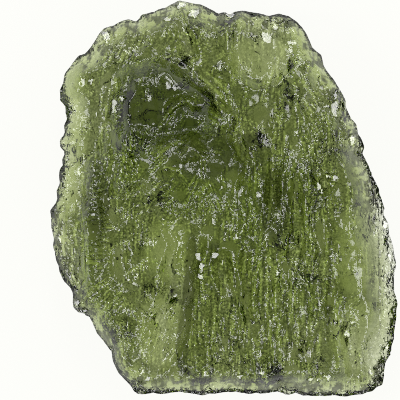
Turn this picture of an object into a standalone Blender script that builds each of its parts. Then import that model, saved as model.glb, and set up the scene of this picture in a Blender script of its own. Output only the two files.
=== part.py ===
"""Moldavite: one flat, deeply sculpted piece of natural green glass, lying on its underside.

The plan of the stone is drawn as a closed curve and thickened to a thin slab, whose even faces are
then pushed out to the stone's own thickness and carved with its hollows, gutters, ledges and ribs.
Z is up, and the origin is on the surface that the stone lies on, under the middle of its box.
"""

import math

import bpy
import numpy as np
from mathutils import Vector, noise

MM = 0.001

# Driving sizes of the stone
CROWN = 3.3 * MM  # top of the body above the level of the rim
BELLY = 3.2 * MM  # bottom of the body below the level of the rim
RIM_HALF = 0.40 * MM  # half the thickness of the glass at the very edge
RIM_LEAST = 0.24 * MM  # and what is left of it where it is carved deepest
EDGE_CARVING = 0.15  # how much of the carving reaches the very edge
SHOULDER_TOP = 2.9 * MM  # how far in from the edge the top is still rising
SHOULDER_UNDER = 3.3 * MM
SHOULDER_POWER = 2.3  # 1 is a straight bevel up from the edge, and more rises sooner
RIM_CURL = 0.55 * MM  # how far the edge leaves one level
RIM_TOOTH = 0.20 * MM  # size of the smallest teeth on the edge
WANDER = 0.45 * MM  # how far grooves and ledges stray from the lines drawn for them

# The small flat spot that the stone lies on
REST_MIDDLE = (-0.1 * MM, -0.9 * MM)
REST_RADIUS = 4.9 * MM
REST_UNEVEN = 0.45  # how far its outline leaves a circle, as a share of the radius
BELLY_CURVE = 110 * MM  # radius of the gentle bulge of the underside

# The mesh: a fine slab to carve, then as few triangles as hold the carving
CARVING_CELL = 0.27 * MM
SLAB_HALF = 0.7 * MM
CELL_LOSS = 0.08 * MM  # what the cells round off the edge
TRIANGLES = 9000

GLASS_GREEN = (0.16, 0.22, 0.06, 1.0)

# The edge of the stone seen from above, clockwise, in millimetres from the middle of its box
EDGE = (
    # left shoulder and the slope up to the step
    (-14.8, 9.7), (-14.6, 10.4), (-14.3, 11.5), (-13.6, 12.2), (-13.2, 12.9), (-12.7, 13.0),
    (-12.2, 13.5), (-11.5, 14.4), (-10.9, 15.3), (-10.2, 15.5), (-9.5, 15.9), (-8.7, 16.2),
    (-8.0, 15.9), (-7.6, 16.1), (-7.5, 16.6), (-6.7, 16.8), (-5.8, 17.1), (-5.1, 17.3),
    # the peak, the nick beside it and the flat top
    (-4.5, 17.7), (-4.0, 17.9), (-3.2, 17.7), (-2.5, 17.6), (-1.7, 17.3), (-0.9, 16.9),
    (-0.4, 16.5), (0.0, 17.0), (0.3, 16.5), (0.7, 16.5), (1.0, 16.7), (1.7, 17.0),
    (2.4, 16.8), (3.5, 16.7), (3.7, 16.5), (4.5, 16.5), (4.9, 16.7), (5.9, 16.4),
    # the long slope down the right side, with two flakes standing out
    (6.7, 15.8), (7.3, 15.1), (7.8, 14.2), (7.9, 13.7), (8.7, 13.0), (9.0, 12.0),
    (9.7, 11.0), (10.4, 10.0), (10.9, 9.0), (11.2, 7.9), (11.5, 7.1), (12.0, 6.7),
    (12.1, 6.1), (12.5, 5.3), (12.8, 4.6), (12.5, 4.2), (12.7, 3.7), (13.1, 3.0),
    (13.6, 1.7), (14.2, 0.3), (14.5, -0.9), (14.5, -1.9), (15.0, -2.4), (14.9, -3.0),
    # the thin lip at the lower right
    (15.3, -4.3), (15.6, -6.1), (15.4, -7.0), (15.4, -8.3), (15.8, -9.6), (15.6, -10.9),
    (15.4, -12.7), (15.0, -14.4), (14.6, -14.9), (14.5, -16.0), (14.4, -16.9), (13.5, -17.5),
    # the bottom edge
    (12.2, -17.8), (10.7, -18.0), (9.2, -17.9), (7.6, -18.0), (6.4, -17.6), (5.6, -17.9),
    (5.0, -17.5), (3.5, -17.7), (2.4, -17.7), (1.1, -17.6), (-0.2, -17.7), (-1.3, -17.7),
    (-2.3, -17.9), (-3.3, -17.7), (-4.7, -17.7), (-5.6, -17.9), (-6.5, -17.7), (-7.3, -17.8),
    # the lower left corner and the two bites above it
    (-8.2, -17.6), (-8.6, -16.8), (-9.5, -16.0), (-10.0, -14.9), (-10.2, -14.0), (-10.8, -13.1),
    (-11.3, -12.5), (-11.6, -12.0), (-12.0, -11.0), (-12.3, -10.6), (-13.2, -10.4), (-13.7, -9.8),
    (-13.6, -8.9), (-13.8, -8.0), (-14.4, -7.7), (-14.8, -7.1), (-15.1, -5.7), (-15.5, -4.5),
    # the ragged left side
    (-15.4, -3.8), (-15.7, -2.7), (-15.6, -2.0), (-15.8, -1.2), (-15.3, -0.6), (-15.1, -0.2),
    (-15.2, 0.6), (-14.7, 1.3), (-14.9, 1.8), (-14.9, 2.5), (-14.5, 2.9), (-14.6, 3.4),
    (-14.3, 3.9), (-14.9, 5.0), (-14.8, 5.4), (-14.3, 5.6), (-14.5, 6.4), (-14.4, 6.8),
    (-14.0, 7.0), (-14.3, 7.8), (-14.3, 8.4), (-14.8, 8.9),
)

# Smooth swells and hollows of the top: middle x and y, half width, half length, rise, and the lean
# of its top end to the right in degrees
SWELLS = (
    # the thick, dark upper middle, its tail down the left side, and the thick spine right of the middle
    (-6.0, 7.8, 5.2, 4.4, 2.4, 10),
    (-8.6, 3.2, 3.8, 3.2, 1.7, 0),
    (-0.8, 5.6, 3.0, 2.2, 1.1, 60),
    (2.4, -0.2, 2.0, 2.8, 0.6, 0),
    (-3.6, 1.0, 4.0, 2.6, 0.5, 0),
    (6.6, 0.2, 2.4, 4.6, 0.7, 0),
    (9.0, -7.2, 3.4, 3.6, 0.6, 0),
    (-12.0, -2.6, 1.2, 6.0, 0.9, 0),
    # the pale windows at the lower left, the upper right and the lower right
    (-6.2, -13.2, 2.0, 3.6, -0.9, 6),
    (3.6, 13.4, 3.4, 3.6, -1.5, 0),
    (5.9, 9.4, 1.1, 1.8, -0.5, 0),
    (-3.4, 14.0, 2.6, 0.9, -0.9, 66),
    (-12.8, 13.2, 1.8, 2.0, -0.9, 40),
    (12.4, -13.4, 2.0, 3.4, -1.9, 0),
    (12.8, -5.0, 1.2, 7.0, -0.4, 4),
    # smaller smooth patches
    (8.5, -3.4, 0.9, 2.5, -0.5, -6),
    (10.7, -1.9, 0.9, 0.9, -0.6, 0),
    (3.7, 7.6, 1.2, 2.6, -0.3, 12),
    (0.0, -6.8, 0.9, 2.4, -0.9, 0),
    (-9.5, -6.0, 1.0, 2.7, -0.4, 0),
    (-5.2, -4.4, 1.6, 2.0, -0.3, 10),
    # two deep cupules
    (9.2, 0.8, 0.7, 0.7, -0.9, 0),
    (-0.3, -5.1, 0.5, 0.5, -0.8, 0),
)

# Gutters cut into the top: half width, depth, and the line that each follows with its strength there
GUTTERS = (
    # the long gutter below the step in the lower middle, and the faint one above it
    (0.5, 0.7, ((-2.2, -3.4, 0), (-2.9, -6.2, 1), (-3.4, -9.5, 1), (-4.2, -13.5, 0.8), (-4.8, -16.0, 0))),
    (0.6, 0.5, ((-0.9, 1.6, 0), (-1.2, -1.2, 1), (-1.3, -3.2, 0.6))),
    # the curved one right of the dark middle, and the slanting pair above it
    (0.5, 1.1, ((0.6, 7.0, 0), (1.1, 4.8, 1), (1.5, 3.8, 1), (2.6, 2.4, 0))),
    (0.4, 0.8, ((-2.0, 11.0, 0), (-0.8, 10.3, 1), (0.7, 9.3, 0))),
    (0.4, 0.8, ((-2.8, 10.3, 0), (-1.6, 9.6, 1), (0.0, 8.6, 0))),
    # the arcs inside the dark middle
    (0.45, 0.7, ((-5.6, 7.0, 0), (-4.9, 8.2, 1), (-3.6, 8.8, 1), (-2.3, 8.2, 0.4))),
    (0.40, 0.6, ((-6.2, 3.6, 0), (-5.2, 4.9, 1), (-3.4, 5.4, 1), (-0.8, 5.2, 0))),
    # between the ribs of the right half
    (0.5, 0.9, ((5.0, -5.3, 0), (4.7, -7.2, 1), (4.9, -9.7, 1), (4.7, -12.2, 0))),
    (0.6, 0.8, ((2.2, -3.0, 0), (2.0, -6.5, 1), (2.3, -11.0, 1), (2.0, -14.0, 0))),
    (0.5, 0.7, ((7.3, -8.0, 0), (7.1, -11.5, 1), (7.5, -15.0, 0))),
    (0.5, 0.7, ((9.8, -5.5, 0), (9.6, -9.0, 1), (10.1, -13.5, 0))),
    (0.5, 0.7, ((4.6, 4.0, 0), (4.3, 1.0, 1), (4.7, -3.0, 0))),
    (0.5, 0.7, ((6.6, 3.0, 0), (6.4, -0.5, 1), (6.7, -4.0, 0))),
    (0.6, 0.9, ((8.7, 3.0, 0), (8.9, 1.4, 1), (9.7, 0.2, 0))),
    # the slanting pair at the upper right
    (0.5, 0.8, ((7.9, 9.6, 0), (8.3, 8.6, 1), (9.4, 7.0, 0))),
    (0.5, 0.8, ((6.9, 9.2, 0), (7.4, 8.0, 1), (8.5, 6.3, 0))),
    # the upper left
    (0.5, 0.6, ((-8.8, 6.0, 0), (-8.5, 3.0, 1), (-8.9, 0.0, 0))),
    (0.45, 0.9, ((-10.0, 10.3, 0), (-10.4, 8.4, 1), (-11.0, 6.0, 0))),
)

# Ledges on the top, where the body steps up on the line's left: step, half width, and the line with its
# strength there
LEDGES = (
    # the band along the left side, in two steps
    (0.8, 0.30, ((-8.0, 13.0, 0), (-9.9, 9.3, 0.5), (-11.2, 6.2, 0.8), (-12.3, 2.9, 1), (-12.8, -1.0, 1),
                 (-12.7, -7.4, 1), (-13.0, -9.4, 0.2))),
    (0.5, 0.30, ((-6.4, 12.6, 0), (-8.8, 8.8, 1), (-9.4, 4.2, 1), (-10.3, -0.4, 1), (-10.2, -4.6, 0))),
    # the long step down the lower middle
    (1.1, 0.35, ((-1.2, -2.0, 0), (-2.0, -4.6, 1), (-2.7, -8.4, 1), (-3.5, -12.8, 1), (-4.3, -16.4, 0.2))),
    # the step above the bottom edge
    (0.4, 0.35, ((-9.6, -16.9, 0), (-4.4, -16.7, 1), (1.5, -16.8, 1), (7.0, -16.4, 1), (11.5, -16.3, 0))),
)

# Thin lips outside the body, along the right side and the bottom: lip width, and the part of the edge
# that has it
LIPS = (
    (1.2, ((14.4, -1.6), (15.6, -6.0), (15.6, -11.0), (14.9, -15.5))),
    (0.3, ((14.2, -17.2), (7.0, -17.8), (0.0, -17.5), (-6.0, -17.7))),
    (0.4, ((12.6, 3.0), (14.2, -0.5))),
)
LIP_REACH = (1.4 * MM, 3.2 * MM)  # from the path, where a lip starts to fade and where it has gone

# Long ribs and lumps, as noise: size across, size along, and height, in millimetres
RIBS = ((1.2, 7.0, 0.55), (0.75, 3.0, 0.30))
LUMPS = ((3.4, 3.4, 0.45), (1.5, 1.9, 0.35))
UNDER_LUMPS = ((4.0, 6.0, 0.50), (1.4, 2.6, 0.35))
LEFT_RIBS = 0.35  # the ribs and pits of one half of the top, as a share of those of the other half
RIGHT_PITS = 0.40
MIDDLE_LINE = (-3 * MM, 2 * MM)  # where the one half changes over to the other

# Round cupules: the spacing of the middles, and the depth
PITS = (2.1 * MM, 0.50 * MM)
UNDER_PITS = ((2.7 * MM, 0.85 * MM), (1.5 * MM, 0.42 * MM))


def smooth(value, low, high):
    """0 below low, 1 above high, and an even S-curve between them."""
    share = np.clip((value - low) / (high - low), 0, 1)
    return share * share * (3 - 2 * share)


def nearest_on_path(x, y, path):
    """For each point, its distance from a path, that distance signed + on the path's left, and the
    strength of the path there. The path's corners are x, y and strength."""
    nearest = np.full(len(x), np.inf)
    signed = np.zeros(len(x))
    strength = np.zeros(len(x))
    for start, end in zip(path, path[1:]):
        run_x, run_y = end[0] - start[0], end[1] - start[1]
        share = np.clip(((x - start[0]) * run_x + (y - start[1]) * run_y) / (run_x**2 + run_y**2), 0, 1)
        across_x = x - start[0] - share * run_x
        across_y = y - start[1] - share * run_y
        distance = np.hypot(across_x, across_y)
        closer = distance < nearest
        nearest = np.where(closer, distance, nearest)
        signed = np.where(closer, np.copysign(distance, run_x * across_y - run_y * across_x), signed)
        strength = np.where(closer, start[2] + share * (end[2] - start[2]), strength)
    return nearest, signed, strength


def in_metres(path):
    """A path given in millimetres, with the strength of corners that give none as 1."""
    return [(corner[0] * MM, corner[1] * MM, corner[2] if len(corner) > 2 else 1) for corner in path]


def grain(x, y, across, along, seed):
    """Smooth noise from -1 to 1, whose lumps have that size across and along the stone."""
    return np.array([noise.noise(Vector((u, v, seed))) for u, v in zip(x / across, y / along)])


def pits(x, y, spacing, seed):
    """Round cupules, 1 at the middle of each and 0 between them."""
    radius = 0.55
    depth = []
    for u, v in zip(x / spacing, y / spacing):
        distances, _ = noise.voronoi(Vector((u, v, seed)))
        depth.append(max(0.0, 1.0 - (distances[0] / radius) ** 2))
    return np.array(depth)


def stray(x, y, seed):
    """The same points moved about a little, so that lines drawn straight come out natural."""
    size = 1.8 * MM
    moved_x = x + WANDER * grain(x, y, size, size, seed)
    moved_y = y + WANDER * grain(x, y, size, size, seed + 12.6)
    return moved_x, moved_y


def edge_line():
    """The stone's edge in metres, each side broken into short steps that stand in and out by a tooth."""
    step = 0.45 * MM
    tooth_length = 0.5 * MM
    line = []
    corners = [Vector(p) * MM for p in EDGE]
    for start, end in zip(corners, corners[1:] + corners[:1]):
        run = end - start
        steps = max(1, round(run.length / step))
        outwards = Vector((-run.y, run.x)).normalized()
        for i in range(steps):
            point = start + run * (i / steps)
            tooth = noise.noise(Vector((point.x, point.y, 0.0)) / tooth_length)
            line.append(point + outwards * (CELL_LOSS + RIM_TOOTH * tooth))
    return line


def slab(line):
    """The plan of the stone as a thin slab of small even faces."""
    plan = bpy.data.curves.new("edge", "CURVE")
    plan.dimensions = "2D"
    plan.fill_mode = "BOTH"
    plan.extrude = SLAB_HALF
    spline = plan.splines.new("POLY")
    spline.points.add(len(line) - 1)
    for point, place in zip(spline.points, line):
        point.co = (place.x, place.y, 0.0, 1.0)
    spline.use_cyclic_u = True
    outline = bpy.data.objects.new("edge", plan)
    bpy.context.scene.collection.objects.link(outline)
    remesh = outline.modifiers.new("even faces", "REMESH")
    remesh.mode = "VOXEL"
    remesh.voxel_size = CARVING_CELL
    mesh = evaluated_mesh(outline)
    bpy.data.objects.remove(outline)
    bpy.data.curves.remove(plan)
    return mesh


def evaluated_mesh(obj):
    graph = bpy.context.evaluated_depsgraph_get()
    return bpy.data.meshes.new_from_object(obj.evaluated_get(graph))


def lip_width(x, y):
    """How much of the edge at each point is thin lip, in metres."""
    width = np.zeros(len(x))
    for lip, path in LIPS:
        distance, _, _ = nearest_on_path(x, y, in_metres(path))
        width = np.maximum(width, lip * MM * (1 - smooth(distance, *LIP_REACH)))
    return width


def dome(distance, shoulder):
    """Height of a body that rises from its edge and is level past the shoulder, from 0 to 1."""
    share = np.clip(distance / shoulder, 0, 1)
    return 1 - (1 - share) ** SHOULDER_POWER


def swells(x, y):
    height = np.zeros(len(x))
    for middle_x, middle_y, half_width, half_length, rise, lean in SWELLS:
        turn = math.radians(lean)
        u = (x / MM - middle_x) * math.cos(turn) - (y / MM - middle_y) * math.sin(turn)
        v = (x / MM - middle_x) * math.sin(turn) + (y / MM - middle_y) * math.cos(turn)
        share = np.hypot(u / half_width, v / half_length)
        height += rise * MM * (1 - smooth(share, 0.45, 1.15))
    return height


def gutters(x, y):
    """How deep the top is cut by the gutters. Where two cross, the deeper one holds."""
    depth = np.zeros(len(x))
    for half_width, full_depth, path in GUTTERS:
        distance, _, strength = nearest_on_path(x, y, in_metres(path))
        cut = 1 - smooth(distance, 0.1 * half_width * MM, 1.3 * half_width * MM)
        depth = np.maximum(depth, full_depth * MM * strength * cut)
    return depth


def ledges(x, y):
    """How far the top lies below the body on the outer side of each ledge's line."""
    depth = np.zeros(len(x))
    for step, half_width, path in LEDGES:
        distance, side, strength = nearest_on_path(x, y, in_metres(path))
        outside = 1 - smooth(side, -half_width * MM, half_width * MM)
        near = 1 - smooth(distance, 2.2 * MM, 3.6 * MM)
        depth += step * MM * strength * near * outside
    return depth


def carve_top(x, y):
    """Heights to add to the top: swells, hollows, gutters and ledges, then ribs, lumps and pits."""
    stray_x, stray_y = stray(x, y, 71.3)
    height = swells(stray_x, stray_y) - gutters(stray_x, stray_y) - ledges(stray_x, stray_y)
    right_half = smooth(x, *MIDDLE_LINE)
    for number, (across, along, rise) in enumerate(RIBS):
        ribs = grain(stray_x, y, across * MM, along * MM, 3.7 + number)
        height += rise * MM * (LEFT_RIBS + (1 - LEFT_RIBS) * right_half) * ribs
    for number, (across, along, rise) in enumerate(LUMPS):
        height += rise * MM * grain(x, y, across * MM, along * MM, 11.3 + number)
    spacing, depth = PITS
    height -= depth * (1 - (1 - RIGHT_PITS) * right_half) * pits(stray_x, stray_y, spacing, 5.1)
    return height


def rest_share(x, y):
    """Distance from the middle of the flat spot, as a share of the spot's uneven radius."""
    u, v = x - REST_MIDDLE[0], y - REST_MIDDLE[1]
    around = np.maximum(np.hypot(u, v), 0.01 * MM)
    uneven = 1 + REST_UNEVEN * grain(u / around, v / around, 0.8, 0.8, 91.7)
    return around / (REST_RADIUS * uneven)


def carve_under(x, y):
    """Depths to take out of the underside, away from the spot that the stone rests on."""
    stray_x, stray_y = stray(x, y, 15.3)
    depth = np.zeros(len(x))
    for number, (spacing, full_depth) in enumerate(UNDER_PITS):
        depth += full_depth * pits(stray_x, stray_y, spacing, 21.9 + 11.3 * number)
    for number, (across, along, rise) in enumerate(UNDER_LUMPS):
        depth += rise * MM * (0.8 + grain(stray_x, stray_y, across * MM, along * MM, 41.7 + number))
    return depth


def carve(mesh, line):
    """Pushes the slab's faces out to the stone's thickness and carves them."""
    points = np.empty(len(mesh.vertices) * 3, np.float32)
    mesh.vertices.foreach_get("co", points)
    points = points.reshape(-1, 3).astype(float)
    x, y, level = points.T
    share = np.clip(level / SLAB_HALF, -1, 1)
    inside, _, _ = nearest_on_path(x, y, [(p.x, p.y, 1) for p in line + line[:1]])
    body = np.maximum(inside - lip_width(x, y), 0)
    rim = RIM_HALF * (1 + 0.5 * grain(x, y, 1.3 * MM, 1.3 * MM, 51.3))

    top = rim + (CROWN - RIM_HALF) * dome(body, SHOULDER_TOP)
    top += carve_top(x, y) * (EDGE_CARVING + (1 - EDGE_CARVING) * smooth(inside, 0, 1.3 * MM))

    from_rest = rest_share(x, y)
    bulge = (from_rest * REST_RADIUS) ** 2 / (2 * BELLY_CURVE)
    under = rim + (BELLY - RIM_HALF) * dome(inside, SHOULDER_UNDER)
    under -= (bulge + carve_under(x, y) * smooth(from_rest, 0.9, 1.5)) * smooth(inside, 0, 3 * MM)

    curl = RIM_CURL * grain(x, y, 5 * MM, 5 * MM, 61.0) * (1 - smooth(inside, 0, 5 * MM))
    height = np.where(share > 0, share * np.maximum(top, RIM_LEAST), share * np.maximum(under, RIM_LEAST))
    points[:, 2] = height + curl
    mesh.vertices.foreach_set("co", points.ravel().astype(np.float32))
    mesh.update()


def rest_cutter():
    """A block under the stone, whose top takes off what is below the flat spot."""
    depth = 4 * MM
    level = -BELLY + REST_RADIUS**2 / (2 * BELLY_CURVE)
    bpy.ops.mesh.primitive_cube_add(size=1, location=(0, 0, level - depth / 2))
    block = bpy.context.object
    block.name = "rest_cutter"
    block.scale = (60 * MM, 60 * MM, depth)
    block.hide_render = True
    block.display_type = "WIRE"
    return block, level


def glass():
    material = bpy.data.materials.new("moldavite_glass")
    material.use_nodes = True
    shader = material.node_tree.nodes["Principled BSDF"]
    shader.inputs["Base Color"].default_value = GLASS_GREEN
    shader.inputs["Roughness"].default_value = 0.2
    shader.inputs["Metallic"].default_value = 0.0
    shader.inputs["IOR"].default_value = 1.49
    material.diffuse_color = GLASS_GREEN
    return material


def put_in(name, obj):
    """Moves an object into a collection of that name."""
    collection = bpy.data.collections.get(name) or bpy.data.collections.new(name)
    if name not in bpy.context.scene.collection.children:
        bpy.context.scene.collection.children.link(collection)
    for other in obj.users_collection:
        other.objects.unlink(obj)
    collection.objects.link(obj)


def stone():
    """Carves the slab, thins out its triangles, cuts the flat spot and sets the origin under the middle."""
    line = edge_line()
    mesh = slab(line)
    carve(mesh, line)
    obj = bpy.data.objects.new("moldavite", mesh)
    bpy.context.scene.collection.objects.link(obj)
    thin_out = obj.modifiers.new("fewer triangles", "DECIMATE")
    thin_out.ratio = TRIANGLES / (2 * len(mesh.polygons))
    cutter, level = rest_cutter()
    cut = obj.modifiers.new("flat spot", "BOOLEAN")
    cut.operation = "DIFFERENCE"
    cut.object = cutter

    final = evaluated_mesh(obj)
    obj.modifiers.clear()
    obj.data = final
    final.name = "moldavite"
    corners = np.array([v.co for v in final.vertices])
    low, high = corners.min(axis=0), corners.max(axis=0)
    middle = (low + high) / 2
    for vertex in final.vertices:
        vertex.co -= Vector((middle[0], middle[1], level))
    cutter.location.z -= level
    final.materials.clear()
    final.materials.append(glass())
    put_in("moldavite_stone", obj)
    put_in("cutters", cutter)
    return obj


for leftover in list(bpy.data.objects):
    bpy.data.objects.remove(leftover)
stone()
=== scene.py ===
"""A moldavite on a pale light table, seen from straight above: one flat piece of green natural glass,
deeply guttered and ribbed, with a ragged, almost colourless edge."""

import math

import bpy
import numpy as np
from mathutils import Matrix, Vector
from mathutils.bvhtree import BVHTree
from mathutils.kdtree import KDTree


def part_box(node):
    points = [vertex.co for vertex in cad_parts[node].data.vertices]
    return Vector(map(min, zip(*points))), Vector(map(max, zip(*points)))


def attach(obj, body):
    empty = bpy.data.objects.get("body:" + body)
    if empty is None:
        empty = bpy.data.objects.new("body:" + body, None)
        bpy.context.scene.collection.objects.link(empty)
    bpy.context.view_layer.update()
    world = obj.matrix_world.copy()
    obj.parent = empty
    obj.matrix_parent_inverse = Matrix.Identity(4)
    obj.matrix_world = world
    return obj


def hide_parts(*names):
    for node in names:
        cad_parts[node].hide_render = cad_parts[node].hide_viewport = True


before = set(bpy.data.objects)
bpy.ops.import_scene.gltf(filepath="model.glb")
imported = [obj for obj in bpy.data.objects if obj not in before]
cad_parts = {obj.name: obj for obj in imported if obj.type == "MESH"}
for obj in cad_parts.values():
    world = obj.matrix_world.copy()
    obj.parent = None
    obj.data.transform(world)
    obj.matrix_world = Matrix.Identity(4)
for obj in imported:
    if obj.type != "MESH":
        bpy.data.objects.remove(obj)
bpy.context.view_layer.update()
scene = bpy.context.scene
MM = 0.001

# The light table
# The stone lies on a pale, evenly lit table of opal acrylic. It glows a little through its whole top, so
# the stone is seen mostly by the light that comes up through it, and it casts hardly any shadow.
TABLE_SIZE = 3.0
TABLE_GAP = 0.05 * MM  # keeps the table clear of the flat spot
TABLE_COLOUR = (0.06, 0.06, 0.06)  # dark under its glow, so that the lamps don't brighten it around the stone
TABLE_GLOW = (0.985, 0.99, 0.95)
TABLE_GLOW_SHARE = 0.94

bpy.ops.mesh.primitive_plane_add(size=TABLE_SIZE, location=(0, 0, -TABLE_GAP))
table = bpy.context.object
table.name = "light_table"
opal = bpy.data.materials.new("opal_acrylic")
opal.use_nodes = True
opal_shader = opal.node_tree.nodes["Principled BSDF"]
opal_shader.inputs["Base Color"].default_value = (*TABLE_COLOUR, 1)
opal_shader.inputs["Roughness"].default_value = 1.0
opal_shader.inputs["Specular IOR Level"].default_value = 0.0
opal_shader.inputs["Emission Color"].default_value = (*TABLE_GLOW, 1)
opal_shader.inputs["Emission Strength"].default_value = TABLE_GLOW_SHARE
table.data.materials.append(opal)

# The stone
# One piece of moldavite: clear bottle green natural glass. It was splashed out molten, broke along its
# flow lines and was then etched in the ground, which cut the gutters and left fine raised lines on it.
# The places and sizes on it that follow are in millimetres, to the right and up from its middle.
CELL = 0.11 * MM  # spacing of the points of the top, seen from above
THINNEST = 0.1 * MM  # glass thinner than this is left out
RIM_ROWS = 3  # rows of faces between the top and the underside
TRIANGLES = 196000
SOFTENING = 20  # rounds of smoothing that take away the flat faces of the solid
SOFTENING_REACH = 0.5  # how far each round moves a point towards the middle of its neighbours
SHARP_RIM = (0.05, 0.45)  # distances from the edge between which the smoothing grows to its full share
RIM_SOFTNESS = 0.04  # share of the smoothing that the edge itself gets
# The step inside the right lip: middle x and y, half width and half length. Its steep wall is eased, because
# it would send the light of the table back down and show black.
RIGHT_STEP = (12.9, -5.8, 2.9, 7.2)
STEP_CORE = 0.6  # share of that place that is eased in full
STEP_SOFTENING = 450


def smooth(value, low, high):
    """0 below low, 1 above high, and an even S-curve between them."""
    share = np.clip((value - low) / (high - low), 0, 1)
    return share * share * (3 - 2 * share)


def scatter(column, row, layer):
    """An even random number from 0 to 1 for each whole-numbered corner of a lattice. Layers are unalike. The
    large numbers only mix the bits."""
    mixed = (column * 374761393 + row * 668265263 + layer * 2147483647) & 0xFFFFFFFF
    mixed = ((mixed ^ (mixed >> 13)) * 1274126177) & 0xFFFFFFFF
    mixed = ((mixed ^ (mixed >> 16)) * 2246822519) & 0xFFFFFFFF
    return ((mixed ^ (mixed >> 15)) & 0xFFFFFF) / 0xFFFFFF


def eased(share):
    """A curve from 0 to 1 without a bend at either end, for noise that shows no lattice."""
    return share**3 * (share * (6 * share - 15) + 10)


GRAIN_GAIN = 1.5  # brings the noise up to its full range


def grain(x, y, across, along, layer):
    """Smooth noise from about -1 to 1, whose lumps have that size across and along the stone."""
    u, v = x / across, y / along
    column, row = np.floor(u).astype(np.int64), np.floor(v).astype(np.int64)
    u, v = u - column, v - row
    total = np.zeros(len(x))
    for right in (0, 1):
        for up in (0, 1):
            turn = scatter(column + right, row + up, layer) * 2 * np.pi
            reach = np.cos(turn) * (u - right) + np.sin(turn) * (v - up)
            weight = (u if right else 1 - u), (v if up else 1 - v)
            total += reach * eased(weight[0]) * eased(weight[1])
    return total * GRAIN_GAIN


def cupules(x, y, spacing, layer):
    """Distance from the nearest of many scattered middles, in spacings."""
    u, v = x / spacing, y / spacing
    column, row = np.floor(u).astype(np.int64), np.floor(v).astype(np.int64)
    nearest = np.full(len(x), np.inf)
    for right in (-1, 0, 1):
        for up in (-1, 0, 1):
            middle_u = column + right + scatter(column + right, row + up, layer)
            middle_v = row + up + scatter(column + right, row + up, layer + 7)
            nearest = np.minimum(nearest, np.hypot(u - middle_u, v - middle_v))
    return nearest


def facets(x, y, spacing, lean, layer):
    """Height of a surface broken into small flat faces, each of which leans its own way, and an even random
    number from 0 to 1 for each of the faces."""
    u, v = x / spacing, y / spacing
    column, row = np.floor(u).astype(np.int64), np.floor(v).astype(np.int64)
    nearest, height, tone = np.full(len(x), np.inf), np.zeros(len(x)), np.zeros(len(x))
    for right in (-1, 0, 1):
        for up in (-1, 0, 1):
            from_u = u - column - right - scatter(column + right, row + up, layer)
            from_v = v - row - up - scatter(column + right, row + up, layer + 7)
            turn = scatter(column + right, row + up, layer + 13) * 2 * np.pi
            steep = lean * scatter(column + right, row + up, layer + 19)
            away = np.hypot(from_u, from_v)
            plane = steep * spacing * (np.cos(turn) * from_u + np.sin(turn) * from_v)
            height = np.where(away < nearest, plane, height)
            tone = np.where(away < nearest, scatter(column + right, row + up, layer + 23), tone)
            nearest = np.minimum(nearest, away)
    return height, tone


def sheet_of(solid, cell):
    """Points on a square lattice over the solid, the levels of its top and underside at each, and which
    square cells lie wholly on it."""
    low, high = (np.array(corner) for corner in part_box(solid.name))
    reach = (high - low) / cell
    columns, rows = int(reach[0]) + 3, int(reach[1]) + 3
    row, column = np.mgrid[0:rows, 0:columns]
    x = low[0] + (column - 1) * cell
    y = low[1] + (row - 1) * cell
    tree = BVHTree.FromObject(solid, bpy.context.evaluated_depsgraph_get())
    top, under = np.full(x.shape, np.nan), np.full(x.shape, np.nan)
    down, up = Vector((0, 0, -1)), Vector((0, 0, 1))
    for place in np.ndindex(x.shape):
        above, _, _, _ = tree.ray_cast(Vector((x[place], y[place], 1)), down)
        if above is not None:
            below, _, _, _ = tree.ray_cast(Vector((x[place], y[place], -1)), up)
            if below is not None:
                top[place], under[place] = above.z, below.z
    inside = top - under > THINNEST
    whole = inside[:-1, :-1] & inside[1:, :-1] & inside[:-1, 1:] & inside[1:, 1:]
    return x, y, top, under, one_patch(whole), tree


def one_patch(whole):
    """The cells joined side to side with the middle one, without any that touch only at a corner."""
    seen = np.zeros(whole.shape, bool)
    seen[whole.shape[0] // 2, whole.shape[1] // 2] = True
    while True:
        more = seen.copy()
        more[1:] |= seen[:-1]
        more[:-1] |= seen[1:]
        more[:, 1:] |= seen[:, :-1]
        more[:, :-1] |= seen[:, 1:]
        more &= whole
        if (more == seen).all():
            break
        seen = more
    # Two cells that meet only at a corner would pinch the mesh there, so one of them goes.
    while True:
        a, b, c, d = seen[:-1, :-1], seen[:-1, 1:], seen[1:, :-1], seen[1:, 1:]
        falling, rising = a & d & ~b & ~c, b & c & ~a & ~d
        if not (falling.any() or rising.any()):
            return seen
        seen[1:, 1:][falling] = False
        seen[1:, :-1][rising] = False


def edge_distance(points, edge):
    """Distance in millimetres from each point to the nearest point of the outline, seen from above."""
    near_edge = KDTree(len(edge))
    for number, place in enumerate(edge):
        near_edge.insert((place[0], place[1], 0), number)
    near_edge.balance()
    return np.array([near_edge.find((a, b, 0))[2] for a, b in points]) / MM


def mark_soft_places(copy, points, edge_points):
    """Marks how far the smoothing may go: hardly at the rim, and more at the step inside the right lip. The
    top's points come first, then the underside's in the same order, then the rim's."""
    count = len(points)
    inner = copy.vertex_groups.new(name="away from the rim")
    step = copy.vertex_groups.new(name="step inside the right lip")
    from_edge = edge_distance(points, edge_points)
    x, y = points[:, 0] / MM, points[:, 1] / MM
    step_x, step_y, half_width, half_length = RIGHT_STEP
    from_step = np.hypot((x - step_x) / half_width, (y - step_y) / half_length)
    for i in range(count):
        share = float(max(RIM_SOFTNESS, smooth(from_edge[i], *SHARP_RIM)))
        inner.add([i, count + i], share, "REPLACE")
        if from_step[i] < 1:
            step.add([i, count + i], float(1 - smooth(from_step[i], STEP_CORE, 1)), "REPLACE")
    inner.add(range(2 * count, len(copy.data.vertices)), RIM_SOFTNESS, "REPLACE")


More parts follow.
